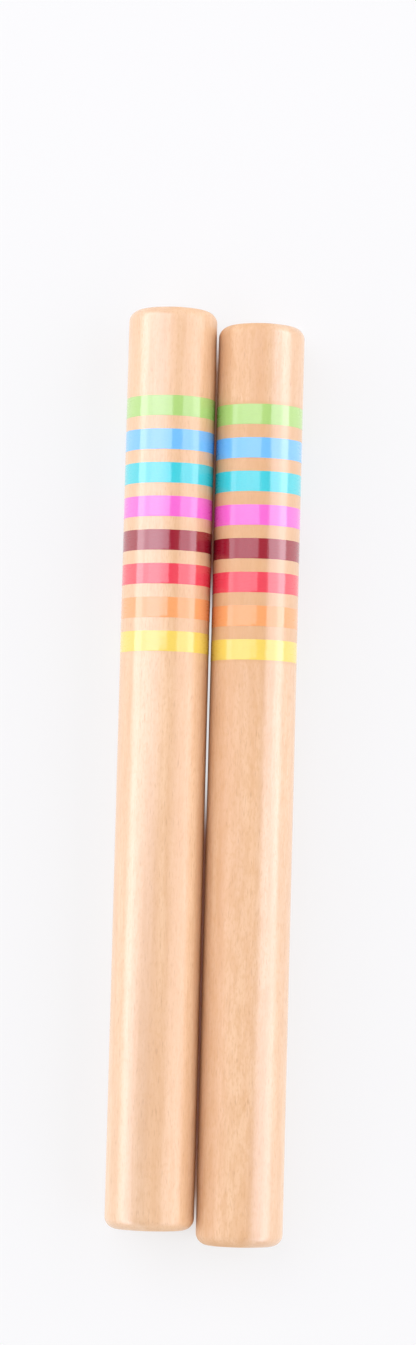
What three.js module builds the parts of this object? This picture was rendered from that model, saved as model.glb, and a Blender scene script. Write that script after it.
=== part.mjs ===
// A pair of claves: two loose hardwood sticks, turned from round bar, lying side by side.
// Each stick has rounded ends and eight rings of coloured lacquer near one end.
//
// Millimetres, +Z up. The sticks lie on z = 0 with their axes along Y and their lacquered ends
// towards +Y. The origin is at the middle of the bottom of the pair's box.

import * as THREE from "three";

// ---- driving dimensions ----
const STICK_LENGTH = 180;
const LEFT_DIAMETER = 17.5; // over the flats of the turned polygon
const RIGHT_DIAMETER = 17.0;
const END_ROUNDING = 2.3; // sanded radius between the side and each end face
const STICK_GAP = 0.3; // between the two sticks' sides
const AXIAL_STAGGER = 2.7; // the right stick lies this much nearer to -Y

const BAND_WIDTH = 4.0;
const BAND_PITCH = 6.59; // from one band's start to the next one's
const LEFT_FIRST_BAND = 17.8; // from the +Y end face to the first band
const RIGHT_FIRST_BAND = 16.3;
const LACQUER_THICKNESS = 0.18;
const LACQUER_CLEARANCE = 0.02; // between a lacquer ring and the shallow seat it lies in

const FACETS = 36; // sides of each turned piece, with one side facing straight down
const ROUNDING_STEPS = 5;

// ---- finishes ----
const WOOD = { color: 0xeec39a, roughness: 0.42 };
const BANDS = [
  { name: "green", color: 0xa2d66a },
  { name: "blue", color: 0x62b4f8 },
  { name: "turquoise", color: 0x3fd0de },
  { name: "magenta", color: 0xf662cc },
  { name: "burgundy", color: 0x98203e },
  { name: "red", color: 0xf04658 },
  { name: "orange", color: 0xfb9c58 },
  { name: "yellow", color: 0xf8d452 },
];
const LACQUER_ROUGHNESS = 0.24;

// ---- worked out from the dimensions ----
const PAIR_WIDTH = LEFT_DIAMETER + STICK_GAP + RIGHT_DIAMETER;
const TO_CORNER = 1 / Math.cos(Math.PI / FACETS); // from a side's distance to a corner's
const HALF_FACET = Math.PI / FACETS;

// Each stick's radius, from its axis to the middle of a facet, and the place of its middle.
const STICKS = [
  {
    side: "left",
    radius: LEFT_DIAMETER / 2,
    x: (LEFT_DIAMETER - PAIR_WIDTH) / 2,
    y: AXIAL_STAGGER / 2,
    firstBand: LEFT_FIRST_BAND,
  },
  {
    side: "right",
    radius: RIGHT_DIAMETER / 2,
    x: (PAIR_WIDTH - RIGHT_DIAMETER) / 2,
    y: -AXIAL_STAGGER / 2,
    firstBand: RIGHT_FIRST_BAND,
  },
];

// A point of a turned profile: its distance from the axis and its place along the stick.
function profilePoint(distance, along) {
  return new THREE.Vector2(distance * TO_CORNER, along);
}

// The places along the stick where each lacquer ring starts and ends, in the order of BANDS.
function bandSpans(firstBand) {
  return BANDS.map((band, i) => {
    const end = STICK_LENGTH / 2 - firstBand - i * BAND_PITCH;
    return { start: end - BAND_WIDTH, end };
  });
}

// The quarter circle between an end face and the side, in the order of rising y.
// The sign says which end: -1 is the plain end, 1 the lacquered one.
function endRounding(radius, sign) {
  const arc = [];
  for (let i = 0; i <= ROUNDING_STEPS; i++) {
    const angle = (i / ROUNDING_STEPS) * (Math.PI / 2);
    arc.push(
      profilePoint(
        radius - END_ROUNDING + END_ROUNDING * Math.sin(angle),
        sign * (STICK_LENGTH / 2 - END_ROUNDING + END_ROUNDING * Math.cos(angle)),
      ),
    );
  }
  return sign < 0 ? arc : arc.reverse();
}

function turn(profile) {
  return new THREE.LatheGeometry(profile, FACETS, HALF_FACET);
}

// The wooden stick, with a shallow seat turned into it for each lacquer ring.
function stickGeometry({ radius, firstBand }) {
  const seat = radius - LACQUER_THICKNESS - LACQUER_CLEARANCE;
  const seats = bandSpans(firstBand).toReversed().flatMap(({ start, end }) => [
    profilePoint(radius, start - LACQUER_CLEARANCE),
    profilePoint(seat, start - LACQUER_CLEARANCE),
    profilePoint(seat, end + LACQUER_CLEARANCE),
    profilePoint(radius, end + LACQUER_CLEARANCE),
  ]);
  return turn([
    new THREE.Vector2(0, -STICK_LENGTH / 2),
    ...endRounding(radius, -1),
    ...seats,
    ...endRounding(radius, 1),
    new THREE.Vector2(0, STICK_LENGTH / 2),
  ]);
}

// One coat of lacquer right round the stick, flush with the wood on both sides of it.
function lacquerRingGeometry(radius, { start, end }) {
  const inner = radius - LACQUER_THICKNESS;
  return turn([
    profilePoint(inner, start),
    profilePoint(radius, start),
    profilePoint(radius, end),
    profilePoint(inner, end),
    profilePoint(inner, start),
  ]);
}

function namedMesh(name, geometry, finish) {
  const mesh = new THREE.Mesh(
    geometry,
    new THREE.MeshStandardMaterial({ metalness: 0, ...finish }),
  );
  mesh.name = name;
  return mesh;
}

// One clave: its stick and its rings, about the stick's own middle.
function clave(stick) {
  const { side, radius, x, y } = stick;
  const group = new THREE.Group();
  group.add(namedMesh(`${side}_stick`, stickGeometry(stick), WOOD));
  const spans = bandSpans(stick.firstBand);
  BANDS.forEach(({ name, color }, i) => {
    const finish = { color, roughness: LACQUER_ROUGHNESS };
    const ring = lacquerRingGeometry(radius, spans[i]);
    group.add(namedMesh(`${side}_${name}_band`, ring, finish));
  });
  group.position.set(x, y, radius);
  return group;
}

const claves = new THREE.Group();
claves.add(...STICKS.map(clave));

export default claves;
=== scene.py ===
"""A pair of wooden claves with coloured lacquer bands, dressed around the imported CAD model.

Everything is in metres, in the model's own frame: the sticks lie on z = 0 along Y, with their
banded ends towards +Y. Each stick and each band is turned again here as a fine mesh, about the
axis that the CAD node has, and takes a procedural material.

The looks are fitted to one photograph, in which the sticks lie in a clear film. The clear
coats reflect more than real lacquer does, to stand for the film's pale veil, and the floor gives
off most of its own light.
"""

import math

import bmesh
import bpy
from mathutils import Matrix, Vector, noise


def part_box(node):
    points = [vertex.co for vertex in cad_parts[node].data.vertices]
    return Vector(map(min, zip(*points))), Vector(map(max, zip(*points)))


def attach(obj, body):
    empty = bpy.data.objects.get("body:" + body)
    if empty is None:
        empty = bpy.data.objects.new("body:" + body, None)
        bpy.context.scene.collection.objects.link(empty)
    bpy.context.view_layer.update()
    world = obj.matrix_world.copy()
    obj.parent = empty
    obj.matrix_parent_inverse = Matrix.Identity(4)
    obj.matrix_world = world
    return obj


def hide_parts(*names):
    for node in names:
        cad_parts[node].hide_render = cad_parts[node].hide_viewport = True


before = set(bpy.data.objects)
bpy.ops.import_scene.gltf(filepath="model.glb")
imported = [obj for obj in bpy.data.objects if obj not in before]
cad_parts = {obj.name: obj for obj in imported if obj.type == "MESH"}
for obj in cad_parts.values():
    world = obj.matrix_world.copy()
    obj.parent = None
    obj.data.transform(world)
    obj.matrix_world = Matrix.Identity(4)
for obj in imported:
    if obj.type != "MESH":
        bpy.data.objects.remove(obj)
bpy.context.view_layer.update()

MM = 0.001
SIDES = ("left", "right")
BANDS = ("green", "blue", "turquoise", "magenta", "burgundy", "red", "orange", "yellow")
SEED = {"left": 2.3, "right": 14.2}  # sets the sticks' grain and wavers apart

# ---- the turned shapes ----
SEGMENTS = 192  # round each piece
SHARP_ANGLE = math.radians(40)  # edges that turn more than this aren't smoothed
SIDE_STEP = 1.2 * MM  # along the straight side
END_ROUNDING = 2.3 * MM
END_STEPS = 14  # along each rounded edge
FACE_RINGS = 9  # across each end face
FACE_DOME = 0.05 * MM  # how far the sanded end face falls from its middle to its edge
SURFACE_INSET = 0.05 * MM  # the wood's surface lies this far inside the CAD side
WAVER = 0.012 * MM  # the most that the planed side departs from a true cylinder
SLOW_WAVER = (1.3, 45, 0.62)  # lumps across the radius and per metre along, and share of WAVER
QUICK_WAVER = (3.1, 160, 0.38)
END_WAVER = 0.09 * MM  # the most that the hand-sanded edge departs from a true arc
END_WAVER_LUMPS = 1.7
END_WAVER_POWER = 4  # how fast it dies away towards the middle of the end face
SEAT_DEPTH = 0.15 * MM  # of the hidden seat under each band
SEAT_SHOULDER = 0.10 * MM  # how far the band laps over each side of its seat
SEAT_CLEARANCE = 0.01 * MM
LACQUER_PROUD = 0.025 * MM  # each band stands this far above the wood
LACQUER_EDGE = 0.07 * MM  # length of the rounded edge of a coat
LACQUER_EDGE_STEPS = 5
LACQUER_TOP_STEPS = 10
BAND_EDGE_WAVER = 0.035 * MM  # the most that a band's edge wanders along the stick
BAND_EDGE_LUMPS = 4
BAND_EDGE_APART = 9  # sets the wander of a band's two edges apart
BAND_SEED_STEP = 3.7  # and that of one band and the next

# ---- colours, linear ----
WOOD_LIGHT = (0.840, 0.585, 0.355)
WOOD_DARK = (0.660, 0.378, 0.182)
WOOD_PINK = (0.685, 0.413, 0.245)
WOOD_PORE = (0.46, 0.225, 0.115)
LACQUER = {
    "green": (0.44, 0.70, 0.20),
    "blue": (0.18, 0.545, 0.95),
    "turquoise": (0.055, 0.650, 0.70),
    "magenta": (0.94, 0.155, 0.63),
    "burgundy": (0.34, 0.010, 0.028),
    "red": (0.87, 0.062, 0.096),
    "orange": (0.95, 0.395, 0.14),
    "yellow": (0.93, 0.69, 0.125),
}
LACQUER_SHADE = 0.90  # the paints are this share of LACQUER: the coats' reflections add the rest
LACQUER_DEEP = 0.90  # the darker colour that brushing mixes in, as a share of the paint
LACQUER_THIN = 0.02  # how much of the wood's colour shows where they are thinnest

# ---- patterns ----
# Each noise has its features per metre across and along the grain, a shift that sets it apart
# from the others, its detail and its roughness.
DRIFT_NOISE = (90, 9, 0, 1.0, 0.5)
GRAIN = {
    "patch": (120, 14, 5, 2.0, 0.5),
    "streak": (330, 13, 9, 3.0, 0.5),
    "fibre": (2600, 90, 2, 3.0, 0.65),
    "fleck": (2900, 900, 6, 2.0, 0.5),
    "cloud": (800, 170, 3, 2.0, 0.55),
    "pore": (5200, 520, 7, 1.0, 0.4),
}
BRUSHED = (700, 2400, 0, 2.0, 0.5)
PEEL = (900, 900, 4, 1.0, 0.5)
NOISE_SHIFT = (1.0, 0.37, -0.61)  # the direction in which seeds and shifts move a noise
DRIFT = 2.2 * MM  # how far the grain is moved about by its slow drift
PITH = (-17 * MM, 0.0, -24 * MM)  # the tree's middle, from a stick's own, with a seed of 0
RING_TAPER = 0.035  # how far the growth rings lean out of the stick's direction
RING_WIDTH = 2.1 * MM
LATE_RISE = (0.35, 0.88)  # the shares of a ring over which it darkens
LATE_FALL = (0.90, 1.0)  # and over which it pales again
END_FACING = (0.30, 0.95)  # how far a surface faces along Y where end grain starts and is full

# ---- the wood's finish ----
PINKNESS = {"left": 0.25, "right": 0.55}
LATE_STRENGTH = 0.16
# The layers of colour, in order: the pattern, the levels of it between which the layer comes in,
# the layer's strength below and above them, and its colour. Each strength is a part that both
# sticks have and a part that grows with the stick's pinkness.
WOOD_LAYERS = (
    ("streak", (0.36, 0.66), ((0.0, 0.0), (0.25, 0.65)), WOOD_DARK),
    ("patch", (0.35, 0.68), ((0.0, 0.40), (0.0, 1.0)), WOOD_PINK),
    ("fibre", (0.30, 0.72), ((0.0, 0.0), (0.22, 0.0)), WOOD_DARK),
    ("cloud", (0.40, 0.68), ((0.0, 0.0), (0.12, 0.50)), WOOD_DARK),
    ("fleck", (0.46, 0.70), ((0.0, 0.0), (0.20, 0.45)), WOOD_DARK),
    ("pore", (0.60, 0.78), ((0.0, 0.0), (0.34, 0.0)), WOOD_PORE),
)
END_DARKNESS = 0.35
WOOD_BANDED_DARKENING = {"left": 0.15, "right": 0.58}  # how far the wood between the bands is darkened
BANDED_DARKENING_EDGE = 1.0 * MM
WOOD_ROUGHNESS = (0.25, 0.75, 0.38, 0.50)  # levels of the fibre noise, and roughness at them
END_ROUGHNESS = 0.12  # more than that, on the end faces
PORE_DEPTH = 0.9  # of the fibres' relief
WOOD_RELIEF = 0.018 * MM
WOOD_COAT_RELIEF = 0.05 * MM
WOOD_SPECULAR = 0.25
WOOD_COAT_ROUGHNESS = 0.27

# ---- the lacquer's finish ----
THIN_LEVELS = (0.35, 0.70)  # of the streak noise, where the paint thins
DEEP_LEVELS = (0.35, 0.75, 0.0, 0.35)  # of the brushing, and the deep colour's share at them
LACQUER_ROUGHNESS = (0.3, 0.8, 0.26, 0.36)  # levels of the brushing, and roughness at them
LACQUER_RELIEF = 0.010 * MM
LACQUER_SPECULAR = 0.10
LACQUER_COAT_ROUGHNESS = 0.10

# ---- the clear coats ----
BASE_IOR = 1.5
COAT_IOR = 2.10  # real lacquer has about 1.5: raised to imitate the film's veil
# Painted reflection: the clear coat is weaker on each stick's side by the other stick and full on
# its outer side, so that the lamps' reflections are strong mainly on the outer sides.
PAINTED_SHEEN_EDGE = {"left": (-0.10, 0.25), "right": (0.05, 0.40)}  # in radii outwards from the middle
WOOD_PAINTED_SHEEN = {"left": (0.40, 0.95), "right": (0.06, 0.95)}  # coat weight: inner side, outer side
LACQUER_PAINTED_SHEEN = {"left": (0.60, 1.0), "right": (0.45, 1.0)}

# ---- camera ----
AXIS_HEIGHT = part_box("left_stick")[1].z / 2
CAMERA_HEIGHT = 0.791  # above the left stick's axis
CAMERA_Y = -0.0377
AIM_Y = 0.0201
CAMERA_ROLL = math.radians(1.5)  # the sticks lean this much to the right in the picture
LENS = 108.2
SENSOR = 36.0  # the picture's long side

# ---- floor ----
FLOOR_RADIUS = 3.0  # where the floor starts to curve up into the wall
COVE_RADIUS = 0.9
WALL_TOP = 2.0
COVE_STEPS = 16
FLOOR_SEGMENTS = 96
FLOOR_ROUGHNESS = 0.9
# Its three zones from the middle out: the paper under the sticks, the table and the far backdrop.
PAPER_WHITE = (0.860, 0.905, 0.917)
# Painted light: the paper glows a dim brown, standing for the light that the wood throws into the
# gap and onto the strip under the sticks. The paper's own white is bluish, so that with this glow
# it reads neutral.
PAPER_BOUNCE_GLOW = (0.070, 0.023, 0.011)  # stands for the brown that the photograph's gap shows
TABLE_WHITE = (0.173, 0.173, 0.173)
TABLE_GLOW = (0.75, 0.75, 0.75)
FAR_WHITE = (0.02, 0.02, 0.02)
FAR_GLOW = (0.93, 0.93, 0.93)
PAPER_SIDE = (13 * MM, 17.5 * MM)  # across from the middle, where paper blends into table
PAPER_END = (80 * MM, 92 * MM)  # and along
FAR_EDGE = (0.15, 0.60)  # radii between which the table turns into the backdrop
# Painted light: along part of the gap the floor is glowing table, which shows as a bright line
# between the sticks.
SLIT_MIDDLE = 15 * MM  # along the sticks, of the stretch where the gap shows table, not paper
SLIT_HALF = (14 * MM, 28 * MM)  # along from that middle, where it starts to fade and where it ends
SLIT_WIDTH = (0.4 * MM, 0.9 * MM)  # and across from the middle of the gap

# ---- lights ----
LIGHT_COLOUR = (0.980, 0.955, 1.06)
SKY_COLOUR = (0.97, 0.98, 1.0, 1.0)
SKY_STRENGTH = 0.12
TENT_RADIUS = 1.5
# The walls beside the sticks: which side, the angles from straight up that they span, their
# reach along Y, and their radiance.
TENT = {
    "left_low": (-1, (48, 84), (-1.5, 1.5), 1.90),
    "left_high": (-1, (12, 48), (0.0, 1.5), 2.20),
    "left_top": (-1, (-5, 12), (0.13, 1.5), 2.20),
    "right_low": (1, (56, 84), (-1.5, 1.5), 2.05),
    "right_high": (1, (31, 56), (-1.5, 1.5), 1.80),
}
# The panels beyond the sticks' ends.
END_PANELS = {"front": -1, "back": 1}
END_DISTANCE = 1.6
END_HEIGHT = 1.0
END_SIZE = (3.2, 1.9)
END_POWER = 4.0


class Stick:
    """Where one stick and its bands lie, read from their CAD nodes."""

    def __init__(self, side):
        low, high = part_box(f"{side}_stick")
        self.side = side
        self.seed = SEED[side]
        self.centre = (low + high) / 2
        self.half_length = (high.y - low.y) / 2
        self.straight = self.half_length - END_ROUNDING
        self.radius = (high.z - low.z) / 2 - SURFACE_INSET
        self.bands = {}
        for name in BANDS:
            band_low, band_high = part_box(f"{side}_{name}_band")
            self.bands[name] = (band_low.y - self.centre.y, band_high.y - self.centre.y)

    def waver(self, angle, along):
        """How far the surface stands off its true radius at a place on the stick."""
        x, z = math.cos(angle), math.sin(angle)
        lumps, rate, share = SLOW_WAVER
        slow = share * noise.noise(Vector((x * lumps, along * rate, z * lumps + self.seed)))
        lumps, rate, share = QUICK_WAVER
        quick = share * noise.noise(Vector((x * lumps, along * rate + self.seed, z * lumps)))
        return WAVER * (slow + quick)


# ---------------------------------------------------------------- meshes


def turned_mesh(name, profile, shape, closed):
    """Turns a profile of (radius, along) points about Y. shape(radius, along, angle) gives each
    point's own radius and along. An open profile starts and ends on the axis."""
    mesh = bmesh.new()
    rings = []
    for radius, along in profile:
        if radius == 0:
            rings.append([mesh.verts.new((0, along, 0))])
            continue
        ring = []
        for i in range(SEGMENTS):
            angle = 2 * math.pi * i / SEGMENTS
            r, y = shape(radius, along, angle)
            ring.append(mesh.verts.new((r * math.sin(angle), y, r * math.cos(angle))))
        rings.append(ring)
    pairs = list(zip(rings, rings[1:]))
    if closed:
        pairs.append((rings[-1], rings[0]))
    for first, second in pairs:
        join_rings(mesh, first, second)
    bmesh.ops.recalc_face_normals(mesh, faces=mesh.faces)
    for face in mesh.faces:
        face.smooth = True
    for edge in mesh.edges:
        if edge.is_manifold and edge.calc_face_angle() > SHARP_ANGLE:
            edge.smooth = False
    return finished_mesh(name, mesh)


def join_rings(mesh, first, second):
    """Faces between two rings, either of which may be a single point on the axis."""
    for i in range(SEGMENTS):
        j = (i + 1) % SEGMENTS
        corners = [first[i % len(first)], second[i % len(second)]]
        if len(second) > 1:
            corners.append(second[j])
        if len(first) > 1:
            corners.append(first[j])
        mesh.faces.new(corners)


def finished_mesh(name, mesh):
    data = bpy.data.meshes.new(name)
    mesh.to_mesh(data)
    mesh.free()
    return data


def even_steps(start, end, step):
    """Places from start to end, evenly spaced and at most a step apart."""
    count = max(1, math.ceil((end - start) / step))
    return [start + (end - start) * i / count for i in range(count + 1)]


def quarter_turns(steps):
    """Angles from 0 to a right angle."""
    return [i / steps * math.pi / 2 for i in range(steps + 1)]


def side_profile(stick):
    """The straight side from the plain end to the banded one, with a seat under each band."""
    points = []
    start = -stick.straight
    for low, high in sorted(stick.bands.values()):
        seat_low, seat_high = low + SEAT_SHOULDER, high - SEAT_SHOULDER
        points += [(stick.radius, y) for y in even_steps(start, seat_low, SIDE_STEP)]
        points += [(stick.radius - SEAT_DEPTH, y) for y in (seat_low, seat_high)]
        start = seat_high
    points += [(stick.radius, y) for y in even_steps(start, stick.straight, SIDE_STEP)]
    return points


def end_profile(stick):
    """From the middle of the banded end's face out and round its sanded edge."""
    flat = stick.radius - END_ROUNDING
    points = []
    for i in range(FACE_RINGS + 1):
        radius = flat * i / FACE_RINGS
        points.append((radius, stick.half_length - FACE_DOME * (radius / flat) ** 2))
    for turn in quarter_turns(END_STEPS)[1:-1]:
        radius = flat + END_ROUNDING * math.sin(turn)
        along = stick.straight + (END_ROUNDING - FACE_DOME) * math.cos(turn)
        points.append((radius, along))
    return points


def stick_mesh(stick):
    banded_end = end_profile(stick)
    plain_end = [(radius, -along) for radius, along in banded_end]
    profile = plain_end + side_profile(stick) + banded_end[::-1]

    def shape(radius, along, angle):
        share = radius / stick.radius
        radius += share * stick.waver(angle, along)
        past = max(0.0, abs(along) - stick.straight) / END_ROUNDING
        place = Vector((math.cos(angle), math.copysign(stick.seed, along), math.sin(angle)))
        lump = 0.5 + 0.5 * noise.noise(place * END_WAVER_LUMPS)
        cut = END_WAVER * past * share ** END_WAVER_POWER * lump
        return radius - cut, along - math.copysign(cut, along)

    return turned_mesh(f"{stick.side}_stick_fine", profile, shape, closed=False)


def band_profile(stick, low, high):
    """A coat's section: it fills the seat, laps over the wood on both sides and ends in a
    soft edge."""
    wood = stick.radius + SEAT_CLEARANCE / 2
    top = stick.radius + LACQUER_PROUD
    seat = stick.radius - SEAT_DEPTH + SEAT_CLEARANCE
    seat_low = low + SEAT_SHOULDER + SEAT_CLEARANCE
    seat_high = high - SEAT_SHOULDER - SEAT_CLEARANCE
    edge = [
        (wood + (top - wood) * math.sin(turn), LACQUER_EDGE * (1 - math.cos(turn)))
        for turn in quarter_turns(LACQUER_EDGE_STEPS)
    ]
    crown = even_steps(low + LACQUER_EDGE, high - LACQUER_EDGE, (high - low) / LACQUER_TOP_STEPS)
    return (
        [(wood, seat_low)]
        + [(radius, low + inset) for radius, inset in edge]
        + [(top, y) for y in crown[1:-1]]
        + [(radius, high - inset) for radius, inset in edge[::-1]]
        + [(wood, seat_high), (seat, seat_high), (seat, seat_low)]
    )


def band_mesh(stick, name):
    low, high = stick.bands[name]
    middle = (low + high) / 2
    half = (high - low) / 2
    seed = stick.seed + BAND_SEED_STEP * BANDS.index(name)

    def shape(radius, along, angle):
        radius += stick.waver(angle, along) * radius / stick.radius
        share = (along - middle) / half
        if radius > stick.radius - SEAT_DEPTH / 2 and abs(share) > 0.5:
            place = Vector(
                (
                    math.cos(angle) * BAND_EDGE_LUMPS,
                    math.copysign(1, share) * BAND_EDGE_APART + seed,
                    math.sin(angle) * BAND_EDGE_LUMPS,
                )
            )
            along += BAND_EDGE_WAVER * noise.noise(place) * (abs(share) - 0.5) * 2
        return radius, along

    profile = band_profile(stick, low, high)
    return turned_mesh(f"{stick.side}_{name}_band_fine", profile, shape, closed=True)


# ---------------------------------------------------------------- materials


class Shader:
    """A material with one Principled shader, and short calls that add nodes to it."""

    def __init__(self, name):
        self.material = bpy.data.materials.new(name)
        self.material.use_nodes = True
        self.tree = self.material.node_tree
        self.tree.nodes.clear()
        output = self.add("OutputMaterial")
        self.principled = self.add("BsdfPrincipled")
        self.tree.links.new(self.principled.outputs["BSDF"], output.inputs["Surface"])
        coords = self.add("TexCoord")
        self.place = coords.outputs["Object"]
        self.facing = coords.outputs["Normal"]

    def add(self, kind, *inputs):
        """A new node, with its first inputs put in."""
        node = self.tree.nodes.new("ShaderNode" + kind)
        for socket, value in zip(node.inputs, inputs):
            self.put(socket, value)
        return node

    def put(self, socket, value):
        """Links a value that comes from a node, or sets it on the socket itself."""
        if isinstance(value, bpy.types.NodeSocket):
            self.tree.links.new(value, socket)
        else:
            socket.default_value = value

    def surface(self, **values):
        for name, value in values.items():
            self.put(self.principled.inputs[name.replace("_", " ")], value)

    def math(self, operation, *values):
        node = self.add("Math", *values)
        node.operation = operation
        return node.outputs[0]

    def vector(self, operation, *values):
        node = self.add("VectorMath", *values)
        node.operation = operation
        return node.outputs["Value" if operation == "LENGTH" else "Vector"]

    def part(self, vector, axis):
        """The X, Y or Z of a vector."""
        return self.add("SeparateXYZ", vector).outputs[axis]

    def off(self, value, middle=0.0):
        """How far a value is from a middle one, on either side."""
        return self.math("ABSOLUTE", self.math("SUBTRACT", value, middle))

    def pattern(self, place, seed, across, along, shift, detail, roughness, colour=False):
        """Noise on a place: features per metre across and along the grain, and the rest as
        under "patterns" above."""
        mapping = self.add("Mapping", place)
        mapping.inputs["Scale"].default_value = (across, along, across)
        mapping.inputs["Location"].default_value = [(seed + shift) * part for part in NOISE_SHIFT]
        node = self.add("TexNoise", mapping.outputs["Vector"])
        node.inputs["Scale"].default_value = 1.0
        node.inputs["Detail"].default_value = detail
        node.inputs["Roughness"].default_value = roughness
        return node.outputs["Color" if colour else "Fac"]

    def ramp(self, value, low, high, to_low=0.0, to_high=1.0):
        """Maps low..high smoothly to to_low..to_high, and holds it beyond."""
        node = self.add("MapRange", value, low, high, to_low, to_high)
        node.interpolation_type = "SMOOTHSTEP"
        return node.outputs["Result"]

    def mix(self, share, first, second):
        node = self.tree.nodes.new("ShaderNodeMix")
        node.data_type = "RGBA"
        self.put(node.inputs["Factor"], share)
        for name, value in (("A", first), ("B", second)):
            socket = [s for s in node.inputs if s.name == name and s.type == "RGBA"][0]
            self.put(socket, value if isinstance(value, bpy.types.NodeSocket) else (*value, 1))
        return [s for s in node.outputs if s.type == "RGBA"][0]

    def bump(self, height, distance, normal=None):
        node = self.tree.nodes.new("ShaderNodeBump")
        node.inputs["Distance"].default_value = distance
        self.put(node.inputs["Height"], height)
        if normal is not None:
            self.put(node.inputs["Normal"], normal)
        return node.outputs["Normal"]


def grown_place(shader, seed):
    """The place on the stick, moved about as the tree's grain drifts."""
    drift = shader.pattern(shader.place, seed, *DRIFT_NOISE, colour=True)
    drift = shader.vector("SUBTRACT", drift, (0.5, 0.5, 0.5))
    drift = shader.vector("MULTIPLY", drift, (DRIFT, 0.0, DRIFT))
    return shader.vector("ADD", shader.place, drift)


def late_wood(shader, grown, seed):
    """The growth lines, from 0 to 1: each ring darkens slowly and pales quickly."""
    pith = (PITH[0] + seed * MM, PITH[1], PITH[2])
    from_pith = shader.vector("SUBTRACT", grown, pith)
    from_pith = shader.vector("MULTIPLY", from_pith, (1.0, RING_TAPER, 1.0))
    rings = shader.math("MULTIPLY", shader.vector("LENGTH", from_pith), 1 / RING_WIDTH)
    rings = shader.math("FRACT", rings)
    return shader.math(
        "MULTIPLY", shader.ramp(rings, *LATE_RISE), shader.ramp(rings, *LATE_FALL, 1.0, 0.0)
    )


def end_grain(shader):
    """1 on the end faces, 0 on the side, from the surface's own direction."""
    return shader.ramp(shader.off(shader.part(shader.facing, "Y")), *END_FACING)


def painted_sheen_weight(shader, stick, weights):
    """The clear coat's weight, which changes from the stick's inner side to its outer one: a
    painted reflection, stronger on the outer side.
    """
    outward = math.copysign(1, stick.centre.x) / stick.radius
    across = shader.math("MULTIPLY", shader.part(shader.place, "X"), outward)
    return shader.ramp(across, *PAINTED_SHEEN_EDGE[stick.side], *weights)


def banded_zone(shader, stick):
    """1 along the stretch with the bands, 0 on the rest of the stick."""
    start = min(low for low, high in stick.bands.values())
    end = max(high for low, high in stick.bands.values())
    along = shader.part(shader.place, "Y")
    return shader.math(
        "MULTIPLY",
        shader.ramp(along, start - BANDED_DARKENING_EDGE, start),
        shader.ramp(along, end, end + BANDED_DARKENING_EDGE, 1.0, 0.0),
    )


def wood_material(stick):
    shader = Shader(f"{stick.side}_wood")
    grown = grown_place(shader, stick.seed)
    grain = {name: shader.pattern(grown, stick.seed, *spec) for name, spec in GRAIN.items()}
    late = shader.math("MULTIPLY", late_wood(shader, grown, stick.seed), LATE_STRENGTH)
    colour = shader.mix(late, WOOD_LIGHT, WOOD_DARK)
    shares = {}
    for name, levels, strengths, tint in WOOD_LAYERS:
        strengths = [plain + pink * PINKNESS[stick.side] for plain, pink in strengths]
        shares[name] = shader.ramp(grain[name], *levels, *strengths)
        colour = shader.mix(shares[name], colour, tint)
    ends = end_grain(shader)
    colour = shader.mix(shader.math("MULTIPLY", ends, END_DARKNESS), colour, WOOD_DARK)
    # the wood is darker along the stretch with the bands
    banded_darkening = shader.math("MULTIPLY", banded_zone(shader, stick), WOOD_BANDED_DARKENING[stick.side])
    colour = shader.mix(banded_darkening, colour, WOOD_DARK)
    rough = shader.ramp(grain["fibre"], *WOOD_ROUGHNESS)
    rough = shader.math("ADD", rough, shader.math("MULTIPLY", ends, END_ROUGHNESS))
    pores = shader.math("MULTIPLY", shares["pore"], PORE_DEPTH)
    shader.surface(
        Base_Color=colour,
        Roughness=rough,
        IOR=BASE_IOR,
        Specular_IOR_Level=WOOD_SPECULAR,
        Coat_Weight=painted_sheen_weight(shader, stick, WOOD_PAINTED_SHEEN[stick.side]),
        Coat_Roughness=WOOD_COAT_ROUGHNESS,
        Coat_IOR=COAT_IOR,
        Normal=shader.bump(shader.math("SUBTRACT", grain["fibre"], pores), WOOD_RELIEF),
        Coat_Normal=shader.bump(grain["streak"], WOOD_COAT_RELIEF),
    )
    return shader.material


def lacquer_material(stick, name):
    """Gloss paint over the stick's own grain, which shows faintly through it."""
    shader = Shader(f"{stick.side}_{name}_lacquer")
    grown = grown_place(shader, stick.seed)
    streak = shader.pattern(grown, stick.seed, *GRAIN["streak"])
    fibre = shader.pattern(grown, stick.seed, *GRAIN["fibre"])
    brushed = shader.pattern(shader.place, stick.seed, *BRUSHED)
    peel = shader.pattern(shader.place, stick.seed, *PEEL)
    paint = tuple(channel * LACQUER_SHADE for channel in LACQUER[name])
    deep = tuple(channel * LACQUER_DEEP for channel in paint)
    thin = tuple(
        channel * (1 - LACQUER_THIN) + wood * LACQUER_THIN
        for channel, wood in zip(paint, WOOD_LIGHT)
    )
    colour = shader.mix(shader.ramp(streak, *THIN_LEVELS), paint, thin)
    colour = shader.mix(shader.ramp(brushed, *DEEP_LEVELS), colour, deep)
    skin = shader.bump(peel, LACQUER_RELIEF, shader.bump(fibre, LACQUER_RELIEF))
    shader.surface(
        Base_Color=colour,
        Roughness=shader.ramp(brushed, *LACQUER_ROUGHNESS),
        IOR=BASE_IOR,
        Specular_IOR_Level=LACQUER_SPECULAR,
        Coat_Weight=painted_sheen_weight(shader, stick, LACQUER_PAINTED_SHEEN[stick.side]),
        Coat_Roughness=LACQUER_COAT_ROUGHNESS,
        Coat_IOR=COAT_IOR,
        Normal=skin,
        Coat_Normal=skin,
    )
    return shader.material


# ---------------------------------------------------------------- pieces


def add_object(name, data):
    thing = bpy.data.objects.new(name, data)
    bpy.context.scene.collection.objects.link(thing)
    return thing


def add_piece(name, data, material, stick, node):
    piece = add_object(name, data)
    piece.data.materials.append(material)
    piece.location = stick.centre
    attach(piece, f"{stick.side}_clave")
    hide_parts(node)


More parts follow.
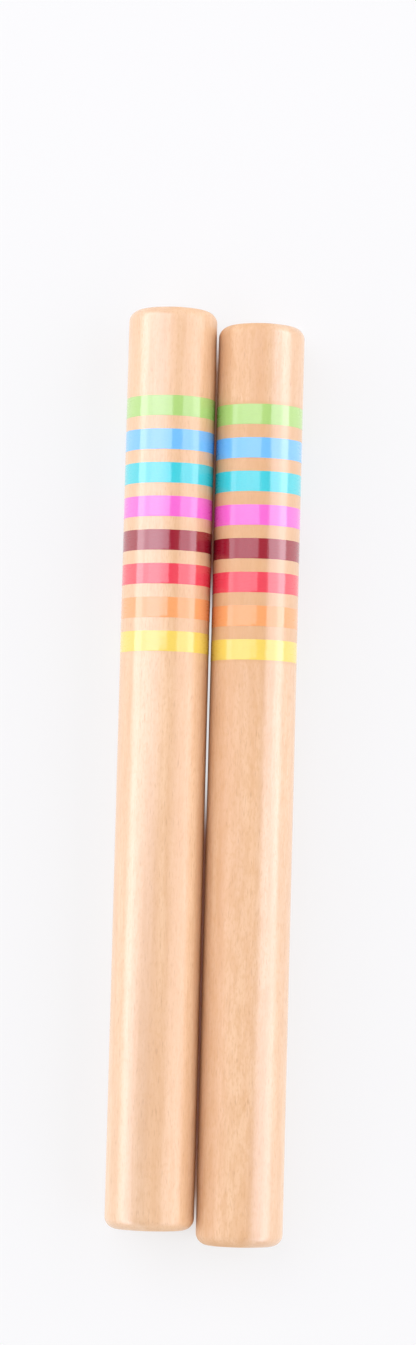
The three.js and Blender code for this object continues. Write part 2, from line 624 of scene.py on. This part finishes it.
def add_clave(stick):
    add_piece(
        f"{stick.side}_turned_stick",
        stick_mesh(stick),
        wood_material(stick),
        stick,
        f"{stick.side}_stick",
    )
    for name in BANDS:
        add_piece(
            f"{stick.side}_{name}_coat",
            band_mesh(stick, name),
            lacquer_material(stick, name),
            stick,
            f"{stick.side}_{name}_band",
        )


# ---------------------------------------------------------------- studio


def add_camera():
    camera = add_object("camera", bpy.data.cameras.new("camera"))
    camera.data.lens = LENS
    camera.data.sensor_width = SENSOR
    place = Vector((0.0, CAMERA_Y, AXIS_HEIGHT + CAMERA_HEIGHT))
    towards = Vector((0.0, AIM_Y, AXIS_HEIGHT)) - place
    turn = towards.to_track_quat("-Z", "Y").to_matrix().to_4x4()
    camera.matrix_world = Matrix.Translation(place) @ turn @ Matrix.Rotation(CAMERA_ROLL, 4, "Z")
    bpy.context.scene.camera = camera


def floor_mesh():
    """A round floor that curves up into a wall, so that no horizon shows."""
    profile = [(FLOOR_RADIUS, 0.0)]
    for turn in quarter_turns(COVE_STEPS)[1:]:
        radius = FLOOR_RADIUS + COVE_RADIUS * math.sin(turn)
        profile.append((radius, COVE_RADIUS * (1 - math.cos(turn))))
    profile.append((FLOOR_RADIUS + COVE_RADIUS, WALL_TOP))
    turns = [2 * math.pi * i / FLOOR_SEGMENTS for i in range(FLOOR_SEGMENTS)]
    mesh = bmesh.new()
    rings = [[mesh.verts.new((0, 0, 0))]]
    for radius, height in profile:
        rings.append(
            [mesh.verts.new((radius * math.cos(a), radius * math.sin(a), height)) for a in turns]
        )
    for inner, outer in zip(rings, rings[1:]):
        for i in range(FLOOR_SEGMENTS):
            j = (i + 1) % FLOOR_SEGMENTS
            corners = [inner[i % len(inner)], outer[i], outer[j]]
            if len(inner) > 1:
                corners.append(inner[j])
            mesh.faces.new(corners).smooth = True
    return finished_mesh("floor", mesh)


def add_floor():
    floor = add_object("floor", floor_mesh())
    shader = Shader("floor_white")
    x, y = (shader.part(shader.place, axis) for axis in "XY")
    gap = (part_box("left_stick")[1].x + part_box("right_stick")[0].x) / 2
    # painted light: a glowing line of table down the middle of the gap
    slit = shader.math(
        "MULTIPLY",
        shader.ramp(shader.off(x, gap), *SLIT_WIDTH, 1.0, 0.0),
        shader.ramp(shader.off(y, SLIT_MIDDLE), *SLIT_HALF, 1.0, 0.0),
    )
    table = shader.math(
        "MAXIMUM",
        shader.ramp(shader.off(x), *PAPER_SIDE),
        shader.ramp(shader.off(y), *PAPER_END),
    )
    table = shader.math("MAXIMUM", table, slit)
    far = shader.ramp(shader.vector("LENGTH", shader.place), *FAR_EDGE)
    white = shader.mix(table, PAPER_WHITE, TABLE_WHITE)
    glow = shader.mix(table, PAPER_BOUNCE_GLOW, TABLE_GLOW)
    shader.surface(
        Base_Color=shader.mix(far, white, FAR_WHITE),
        Roughness=FLOOR_ROUGHNESS,
        Specular_IOR_Level=0.0,
        Emission_Color=shader.mix(far, glow, FAR_GLOW),
        Emission_Strength=1.0,
    )
    floor.data.materials.append(shader.material)


def add_panel(name, place, aim, size, power):
    light = add_object(name, bpy.data.lights.new(name, "AREA"))
    light.data.shape = "RECTANGLE"
    light.data.size, light.data.size_y = size
    light.data.energy = power
    light.data.color = LIGHT_COLOUR
    light.location = place
    light.rotation_euler = (Vector(aim) - Vector(place)).to_track_quat("-Z", "Y").to_euler()
    light.visible_camera = False


def add_tent_wall(name, side, angles, along, radiance):
    """A flat white panel beside the sticks, between two angles from straight up, seen from them."""
    tops = [
        Vector((side * math.sin(math.radians(a)), 0, math.cos(math.radians(a)))) * TENT_RADIUS
        for a in angles
    ]
    middle = (tops[0] + tops[1]) / 2 + Vector((0, sum(along) / 2, 0))
    size = (along[1] - along[0], (tops[0] - tops[1]).length)
    power = radiance * math.pi * size[0] * size[1]
    add_panel(name, middle, (0, middle.y, 0), size, power)


def add_lights():
    scene = bpy.context.scene
    world = bpy.data.worlds.new("studio")
    world.use_nodes = True
    background = world.node_tree.nodes["Background"]
    background.inputs["Color"].default_value = SKY_COLOUR
    background.inputs["Strength"].default_value = SKY_STRENGTH
    scene.world = world
    scene.view_settings.view_transform = "Standard"
    for name, wall in TENT.items():
        add_tent_wall(name, *wall)
    for name, end in END_PANELS.items():
        add_panel(name, (0, END_DISTANCE * end, END_HEIGHT), (0, 0, 0), END_SIZE, END_POWER)


add_camera()
add_floor()
add_lights()
for side in SIDES:
    add_clave(Stick(side))
